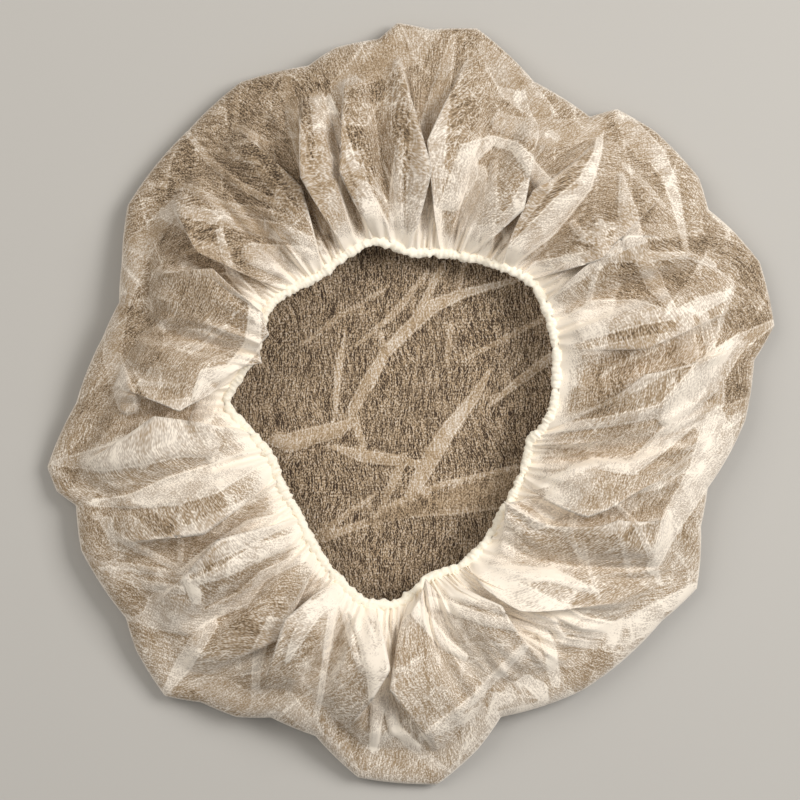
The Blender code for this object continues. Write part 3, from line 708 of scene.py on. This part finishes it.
def strand_cover(tree, uv, flat_width, grain):
    """Wavy strands: layers of noise on the flat sheet, drawn out along the strands and cut to a share of it.

    The strongest layer counts, and the grain thins it.
    """
    bends_scale = flat_width / STRAND_BEND
    bends = add_node(
        tree, "TexNoise", out="Color", noise_dimensions="2D", Vector=uv, Scale=bends_scale, Detail=0.0
    )
    bends = combine(tree, "VectorMath", "SUBTRACT", bends, (0.5, 0.5, 0.5))
    swings = (STRAND_SWING / flat_width, STRAND_SWING / flat_width, 0.0)
    wavy = combine(tree, "VectorMath", "MULTIPLY_ADD", bends, swings, uv)
    cover = 0.0
    for width_mm, length_mm, lean_deg, start, whole in STRANDS:
        size = (width_mm / flat_width, length_mm / flat_width, 1.0)
        place = drawn_out(tree, wavy, (0.0, 0.0, lean_deg), size)
        noise = add_node(
            tree, "TexNoise", noise_dimensions="2D", Vector=place, Scale=1.0, Detail=1.0, Roughness=0.6
        )
        strand = add_node(tree, "MapRange", Value=noise, From_Min=start, From_Max=whole)
        cover = combine(tree, "Math", "MAXIMUM", cover, strand)
    thinned = add_node(tree, "MapRange", Value=grain, To_Min=0.55, To_Max=1.15)
    return combine(tree, "Math", "MULTIPLY", cover, thinned)


def doubled_cover(tree, clouds):
    """How far inside a bright band a point lies, and the haze that the doubled cloth adds there.

    The first is mostly the sharp edge and less the soft core. The haze has a brighter line along the edge.
    """
    names = ("doubled_mm", "doubled_whiteness")
    depth, whiteness = (add_node(tree, "Attribute", out="Fac", attribute_name=name) for name in names)
    soft = "SMOOTHSTEP"
    edge = add_node(tree, "MapRange", interpolation_type=soft, Value=depth, From_Min=-0.15, From_Max=0.3)
    core = add_node(tree, "MapRange", interpolation_type=soft, Value=depth, From_Min=0.0, From_Max=3.4)
    inside = add_node(tree, "Mix", data_type="FLOAT", in_0=0.30, in_2=edge, in_3=core)
    uneven = add_node(tree, "MapRange", Value=clouds, From_Min=0.3, From_Max=0.7, To_Min=0.75, To_Max=1.1)
    from_edge = combine(tree, "Math", "ABSOLUTE", depth)
    rolled = add_node(
        tree, "MapRange", Value=from_edge, From_Min=0.15, From_Max=0.7, To_Min=0.5, To_Max=0.0
    )
    haze = combine(tree, "Math", "MULTIPLY_ADD", inside, uneven, rolled)
    return inside, combine(tree, "Math", "MULTIPLY", haze, whiteness)


def wrapped_place(tree, uv, flat_width):
    """The flat sheet's places wrapped on a cylinder, so that a pattern runs from rim to hem with no seam.

    They lie round it at the side's mean reach, and along it by the distance from the sheet's middle, in mm.
    """
    middle = (0.5, 0.5, 0.0)
    from_middle = combine(tree, "VectorMath", "SUBTRACT", uv, middle)
    distance = combine(tree, "VectorMath", "LENGTH", from_middle, out="Value")
    distance = combine(tree, "Math", "MULTIPLY", distance, flat_width)
    lift = add_node(tree, "CombineXYZ", Z=distance)
    direction = combine(tree, "VectorMath", "NORMALIZE", from_middle)
    reach = (SIDE_MEAN_REACH, SIDE_MEAN_REACH, 0.0)
    return combine(tree, "VectorMath", "MULTIPLY_ADD", direction, reach, lift)


def painted_facet_shading(tree, uv, flat_width, clouds):
    """Painted shade and light of crumpled stiff sheet: facets, longest from rim to hem, each a random tone
    for how it faces the light, with straight sharp creases between them painted as highlights.

    Each layer's cells get a random tone, less their mean, and no crease shows along its whole length.
    """
    wrapped = wrapped_place(tree, uv, flat_width)
    patches = add_node(tree, "MapRange", Value=clouds, From_Min=0.42, From_Max=0.58)
    tones = -0.5 * sum(tone for _, _, _, tone, _ in FACETS)
    for size_mm, stretch, lean_deg, tone, crease_highlight_tone in FACETS:
        size = (size_mm, size_mm, size_mm * stretch)
        place = drawn_out(tree, wrapped, (lean_deg, 0.6 * lean_deg, 0.0), size)
        facet = add_node(tree, "TexVoronoi", out="Color", Vector=place, Scale=1.0)
        from_edge = add_node(tree, "TexVoronoi", feature="DISTANCE_TO_EDGE", Vector=place, Scale=1.0)
        # A painted highlight along each crease.
        crease = add_node(
            tree, "MapRange", Value=from_edge, From_Min=0.01, From_Max=0.04, To_Min=crease_highlight_tone, To_Max=0.0
        )
        tones = combine(tree, "Math", "MULTIPLY_ADD", facet, tone, tones)
        tones = combine(tree, "Math", "MULTIPLY_ADD", crease, patches, tones)
    return tones


def non_woven_material(settings):
    """Spunbond polypropylene non-woven, laid down as endless filaments and pressed with hot points.

    It gives the eye wavy cream strands along the machine direction over a dark brown ground, smooth and
    whiter where the sheet lies double, and near white where it bunches. The brown ground is painted shade:
    the cloth itself is white, and the brown stands for the dark that shows through and between its fibres.
    """
    material, tree, output = new_material("spunbond_non_woven")
    flat_width = settings.flat_diameter / MM * UV_MARGIN
    uv = add_node(tree, "UVMap", uv_map="flat_sheet")
    names = ("bunching", "crumpled")
    bunching, crumpled = (add_node(tree, "Attribute", out="Fac", attribute_name=name) for name in names)
    grain_scale, clouds_scale = flat_width / GRAIN_SIZE, flat_width / CLOUD_SIZE
    grain = add_node(tree, "TexNoise", noise_dimensions="2D", Vector=uv, Scale=grain_scale, Detail=0.0)
    grain = add_node(tree, "MapRange", Value=grain, From_Min=0.3, From_Max=0.7)
    points_scale = flat_width / POINT_SPACING
    points = add_node(
        tree, "TexVoronoi", voronoi_dimensions="2D", Vector=uv, Scale=points_scale, Randomness=0.35
    )
    pressed = add_node(tree, "MapRange", Value=points, From_Min=0.15, From_Max=0.5, To_Min=1.0, To_Max=0.0)
    clouds = add_node(
        tree, "TexNoise", noise_dimensions="2D", Vector=uv, Scale=clouds_scale, Detail=2.0, Roughness=0.6
    )
    inside, doubled = doubled_cover(tree, clouds)
    single = add_node(tree, "MapRange", Value=crumpled, To_Min=STRAND_COVER, To_Max=SIDE_STRAND_COVER)
    faded = add_node(tree, "MapRange", Value=inside, To_Min=1.0, To_Max=0.6)
    strand_share = combine(tree, "Math", "MULTIPLY", single, faded)
    # Painted shade and light on the side: a tone for how each crumpled facet faces the light, and highlights
    # on its creases.
    facets = painted_facet_shading(tree, uv, flat_width, clouds)
    cover = combine(tree, "Math", "MULTIPLY", facets, crumpled)
    for part, share in (
        (strand_cover(tree, uv, flat_width, grain), strand_share),
        (grain, 0.14),
        (pressed, 0.05),
        (clouds, 0.18),
        (doubled, 0.48),
        (bunching, 1.0),
    ):
        cover = combine(tree, "Math", "MULTIPLY_ADD", part, share, cover)
    # The ramp starts from the dark brown ground, which is painted shade, and rises to near white where the
    # cloth lies many layers deep.
    colour = add_node(tree, "ValToRGB", Fac=cover)
    ramp = colour.node.color_ramp.elements
    ramp[0].position, ramp[0].color = 0.17, settings.painted_shade_ground_colour
    ramp[1].position, ramp[1].color = 1.0, settings.bunched_colour
    ramp.new(0.50).color = settings.strand_colour
    ramp.new(0.78).color = settings.doubled_colour
    # The side lets the layers under it show through. The crown is drawn near opaque, so that its dark
    # ground, which is painted shade, hides the pale floor under it.
    sheer = add_node(tree, "MapRange", Value=crumpled, To_Min=0.97, To_Max=0.55)
    alpha = add_node(tree, "Mix", data_type="FLOAT", in_0=cover, in_2=sheer, in_3=1.0)
    shader = add_node(
        tree,
        "BsdfPrincipled",
        Base_Color=colour,
        Alpha=alpha,
        Roughness=0.75,
        IOR=POLYPROPYLENE_IOR,
        Sheen_Weight=0.2,
        Sheen_Roughness=0.5,
    )
    tree.links.new(shader, output.inputs["Surface"])
    return material


def ruched_hem_material(settings):
    """Ruched non-woven over an elastic thread: many layers together, so opaque, fuzzy and near white."""
    material, tree, output = new_material("ruched_non_woven")
    place = add_node(tree, "TexCoord", out="Object")
    fuzz_scale = 1.0 / (FUZZ_SIZE * MM)
    fuzz = add_node(tree, "TexNoise", Vector=place, Scale=fuzz_scale, Detail=4.0, Roughness=0.65)
    colour = add_node(tree, "ValToRGB", Fac=fuzz)
    ramp = colour.node.color_ramp.elements
    ramp[0].position, ramp[0].color = 0.30, settings.hem_shade_colour
    ramp[1].position, ramp[1].color = 0.46, settings.hem_colour
    bump = add_node(tree, "Bump", Height=fuzz, Strength=0.5, Distance=FUZZ_HEIGHT * MM)
    shader = add_node(
        tree,
        "BsdfPrincipled",
        Base_Color=colour,
        Normal=bump,
        Roughness=0.8,
        IOR=POLYPROPYLENE_IOR,
        Sheen_Weight=0.3,
    )
    tree.links.new(shader, output.inputs["Surface"])
    return material


def floor_material(settings):
    """Painted board: a plain pale matt floor, its gloss a very little uneven."""
    material, tree, output = new_material("matt_painted_board")
    place = add_node(tree, "TexCoord", out="Object")
    mottling = add_node(tree, "TexNoise", Vector=place, Scale=1.0 / (MOTTLING_SIZE * MM), Detail=4.0)
    roughness = add_node(tree, "MapRange", Value=mottling, To_Min=0.82, To_Max=0.95)
    colour = tuple(settings.floor_colour)
    shader = add_node(tree, "BsdfPrincipled", Base_Color=colour, Roughness=roughness, IOR=1.45)
    tree.links.new(shader, output.inputs["Surface"])
    return material


def flat_places(side, counts, flat_radius):
    """Where the sheet's points lie on its flat map, from 0 to 1.

    The rings are circles with even steps round. The crown's keep their reach, and the side's follow on by
    the mean length of cloth from ring to ring, stretched to end at the disc's edge.
    """
    runs = np.linalg.norm(side[1:] - side[:-1], axis=-1).mean(axis=1)
    runs = np.concatenate([runs[:1], runs])
    side_reach = CROWN_REACH + np.cumsum(runs) * (flat_radius - CROWN_REACH) / runs.sum()
    reach = np.repeat(np.concatenate([crown_rings(), side_reach]), counts)
    turn = 2.0 * np.pi * np.concatenate([np.arange(count) / count for count in counts])
    flat = np.stack([reach * np.cos(turn), reach * np.sin(turn)], axis=-1)
    return 0.5 + np.concatenate([[[0.0, 0.0]], flat]) / (2.0 * flat_radius * UV_MARGIN)


def point_values(count, plain, crown_values, side_values):
    """A number for each point: the crown's follow the middle one's, the side's are last, the rest plain."""
    values = np.full(count, plain)
    values[1 : 1 + np.size(crown_values)] = np.ravel(crown_values)
    values[count - np.size(side_values) :] = np.ravel(side_values)
    return values


def side_haze(angles_deg, shares, roll_rings):
    """The cover added on the rim's rings and the side's: the tone at that angle, and the hem's tones of
    bunched cloth, which grow from their start to the hem."""
    tone = np.interp(angles_deg, *np.array(SIDE_TONES, float).T, period=360.0)
    gathered = np.tile(tone, (len(shares), 1))
    for start, added, growth in HEM_TONES:
        gathered += added * np.clip((shares - start) / (1.0 - start), 0.0, 1.0) ** growth
    return np.concatenate([np.tile(tone, (roll_rings, 1)), gathered])


def steep_haze(mesh):
    """The haze that a slope adds at each point: the way through it grows as one over its normal's height."""
    normals = np.empty(len(mesh.vertices) * 3)
    mesh.vertex_normals.foreach_get("vector", normals)
    upright = np.maximum(np.abs(normals[2::3]), LEAST_UPRIGHT)
    return STEEP_TONE * np.clip((1.0 / upright - STEEP_FROM) / STEEP_OVER, 0.0, 1.0)


class HAIRNET_OT_sheet(bpy.types.Operator):
    """Make the sheet of non-woven: its flat crown and its gathered side"""

    bl_idname = "hairnet.sheet"
    bl_label = "Non-woven sheet"

    def execute(self, context):
        settings = context.scene.hairnet
        angles = np.arange(SIDE_LINES) * 360.0 / SIDE_LINES
        crown_points, crown_depth, crown_whiteness = crown(CROWN_LINES)
        under = under_side(angles)
        roll_top = under[-ROLL_RINGS // 2 :]
        roll_depth, roll_whiteness, _ = bands_at(SIDE_BANDS, roll_top[..., 0], roll_top[..., 1])
        upper, upper_depth, upper_whiteness, shares = upper_side(angles, settings)
        rings = [*crown_points, under[0, ::2], *under[1:], *upper]
        counts = np.array([len(ring) for ring in rings])
        starts = 1 + np.concatenate([[0], np.cumsum(counts)[:-1]])
        points = np.concatenate([np.zeros((1, 3)), *rings])
        points[:, 2] += CROWN_LIFT
        faces = ring_faces(starts, counts)
        places = (points + CENTRE_SHIFT) * MM
        piece = new_piece("gathered_sheet", places, faces, non_woven_material(settings))
        mesh = piece.data
        uv = flat_places(np.concatenate([under, upper]), counts, settings.flat_diameter / MM / 2.0)
        corners = np.concatenate([group.ravel() for group in faces])
        mesh.uv_layers.new(name="flat_sheet").data.foreach_set("uv", uv[corners].ravel())
        depth = np.concatenate([roll_depth, upper_depth])
        whiteness = np.concatenate([roll_whiteness, upper_whiteness])
        haze = side_haze(angles, shares, len(roll_top))
        for name, plain, crown_values, side_values in (
            ("doubled_mm", -BAND_REACH, crown_depth, depth),
            ("doubled_whiteness", 0.0, crown_whiteness, whiteness),
            ("bunching", 0.0, [], haze),
            ("crumpled", 0.0, [], np.ones_like(haze)),
        ):
            values = point_values(len(points), plain, crown_values, side_values)
            if name == "bunching":
                values += steep_haze(mesh)
            add_point_values(mesh, name, values)
        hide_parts("cap_cloth")
        return {"FINISHED"}


def ruched_swell(steps, sides, swellings, seed):
    """How far the ruched casing swells and narrows: waves along it, closer and wider five times round, and a
    tight fuzz of seeded random heights, smoothed along it and one step round it."""
    rng = np.random.default_rng(seed)
    along = 2.0 * np.pi * np.arange(steps)[:, None] / steps
    swell = np.zeros((steps, sides))
    for count in swellings:
        phase, wander = rng.uniform(0.0, 2.0 * np.pi, 2)
        swell += np.sin(count * along + phase + 1.5 * np.sin(5.0 * along + wander))
    heights = rng.normal(size=(steps, sides))
    reach = range(1 - CASING_FUZZ_STEPS, CASING_FUZZ_STEPS)
    fuzz = sum(np.roll(heights, step, axis=0) * (CASING_FUZZ_STEPS - abs(step)) for step in reach)
    fuzz = fuzz + 0.35 * (np.roll(fuzz, 1, axis=1) + np.roll(fuzz, -1, axis=1))
    return 0.9 * swell / np.sqrt(len(swellings)) + 0.7 * fuzz / fuzz.std()


class HAIRNET_OT_hem(bpy.types.Operator):
    """Make the ruched elastic hem round the head opening"""

    bl_idname = "hairnet.hem"
    bl_label = "Elastic hem"

    def execute(self, context):
        settings = context.scene.hairnet
        line = hem_line(np.arange(CASING_STEPS) * 360.0 / CASING_STEPS)
        out = outwards(line)
        round_tube = np.arange(CASING_SIDES) * 2.0 * np.pi / CASING_SIDES
        swell = ruched_swell(CASING_STEPS, CASING_SIDES, CASING_SWELLS, CASING_SEED)
        radius = settings.elastic_radius / MM * (1.0 + CASING_SWELL * swell)
        points = line[:, None] + out[:, None] * (CASING_WIDTH * radius * np.cos(round_tube))[..., None]
        points[..., 2] += CASING_HEIGHT * radius * np.sin(round_tube)
        grid = np.arange(radius.size).reshape(radius.shape)
        ahead, beside = np.roll(grid, -1, axis=0), np.roll(grid, -1, axis=1)
        quads = np.stack([grid, ahead, np.roll(ahead, -1, axis=1), beside], axis=-1).reshape(-1, 4)
        places = (points.reshape(-1, 3) + CENTRE_SHIFT) * MM
        piece = new_piece("ruched_hem", places, [quads], ruched_hem_material(settings))
        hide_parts("elastic_hem")
        return {"FINISHED"}


class HAIRNET_OT_stage(bpy.types.Operator):
    """Make the floor, the soft lights and the camera that looks straight down"""

    bl_idname = "hairnet.stage"
    bl_label = "Stage"

    def execute(self, context):
        settings = context.scene.hairnet
        mesh = bpy.data.meshes.new("floor")
        corners = [(x * FLOOR_HALF, y * FLOOR_HALF, 0.0) for x, y in ((-1, -1), (1, -1), (1, 1), (-1, 1))]
        mesh.from_pydata(corners, [], [(0, 1, 2, 3)])
        mesh.materials.append(floor_material(settings))
        floor = bpy.data.objects.new("floor", mesh)
        context.scene.collection.objects.link(floor)
        for name, place, size, power, tint in LIGHTS:
            lamp = bpy.data.lights.new(name, "AREA")
            lamp.size = size
            lamp.energy = power
            lamp.color = linear(tint)[:3]
            light = bpy.data.objects.new(name, lamp)
            light.location = place
            light.rotation_euler = (-Vector(place)).to_track_quat("-Z", "Y").to_euler()
            context.scene.collection.objects.link(light)
        world = bpy.data.worlds.new("soft_room")
        world.use_nodes = True
        background = world.node_tree.nodes["Background"]
        background.inputs["Color"].default_value = linear(ROOM_COLOUR)
        background.inputs["Strength"].default_value = ROOM_LIGHT
        context.scene.world = world
        context.scene.view_settings.view_transform = "Standard"
        lens = bpy.data.cameras.new("overhead")
        lens.lens = lens.sensor_width * (CAMERA_HEIGHT - VIEW_PLANE) / VIEW_WIDTH
        lens.clip_start = 0.05
        camera = bpy.data.objects.new("overhead", lens)
        camera.location = (*VIEW_MIDDLE, CAMERA_HEIGHT)
        context.scene.collection.objects.link(camera)
        context.scene.camera = camera
        return {"FINISHED"}


class HAIRNET_PT_panel(bpy.types.Panel):
    """The cap's pieces in the sidebar"""

    bl_idname = "HAIRNET_PT_panel"
    bl_label = "Hairnet"
    bl_space_type = "VIEW_3D"
    bl_region_type = "UI"
    bl_category = "Hairnet"

    def draw(self, context):
        for name in HairnetSettings.__annotations__:
            self.layout.prop(context.scene.hairnet, name)
        for operator in (HAIRNET_OT_stage, HAIRNET_OT_sheet, HAIRNET_OT_hem):
            self.layout.operator(operator.bl_idname)


CLASSES = (HairnetSettings, HAIRNET_OT_stage, HAIRNET_OT_sheet, HAIRNET_OT_hem, HAIRNET_PT_panel)


def register():
    for cls in CLASSES:
        bpy.utils.register_class(cls)
    bpy.types.Scene.hairnet = bpy.props.PointerProperty(type=HairnetSettings)


def unregister():
    del bpy.types.Scene.hairnet
    for cls in reversed(CLASSES):
        bpy.utils.unregister_class(cls)


def main():
    register()
    bpy.ops.hairnet.stage()
    bpy.ops.hairnet.sheet()
    bpy.ops.hairnet.hem()


if __name__ == "__main__":
    main()
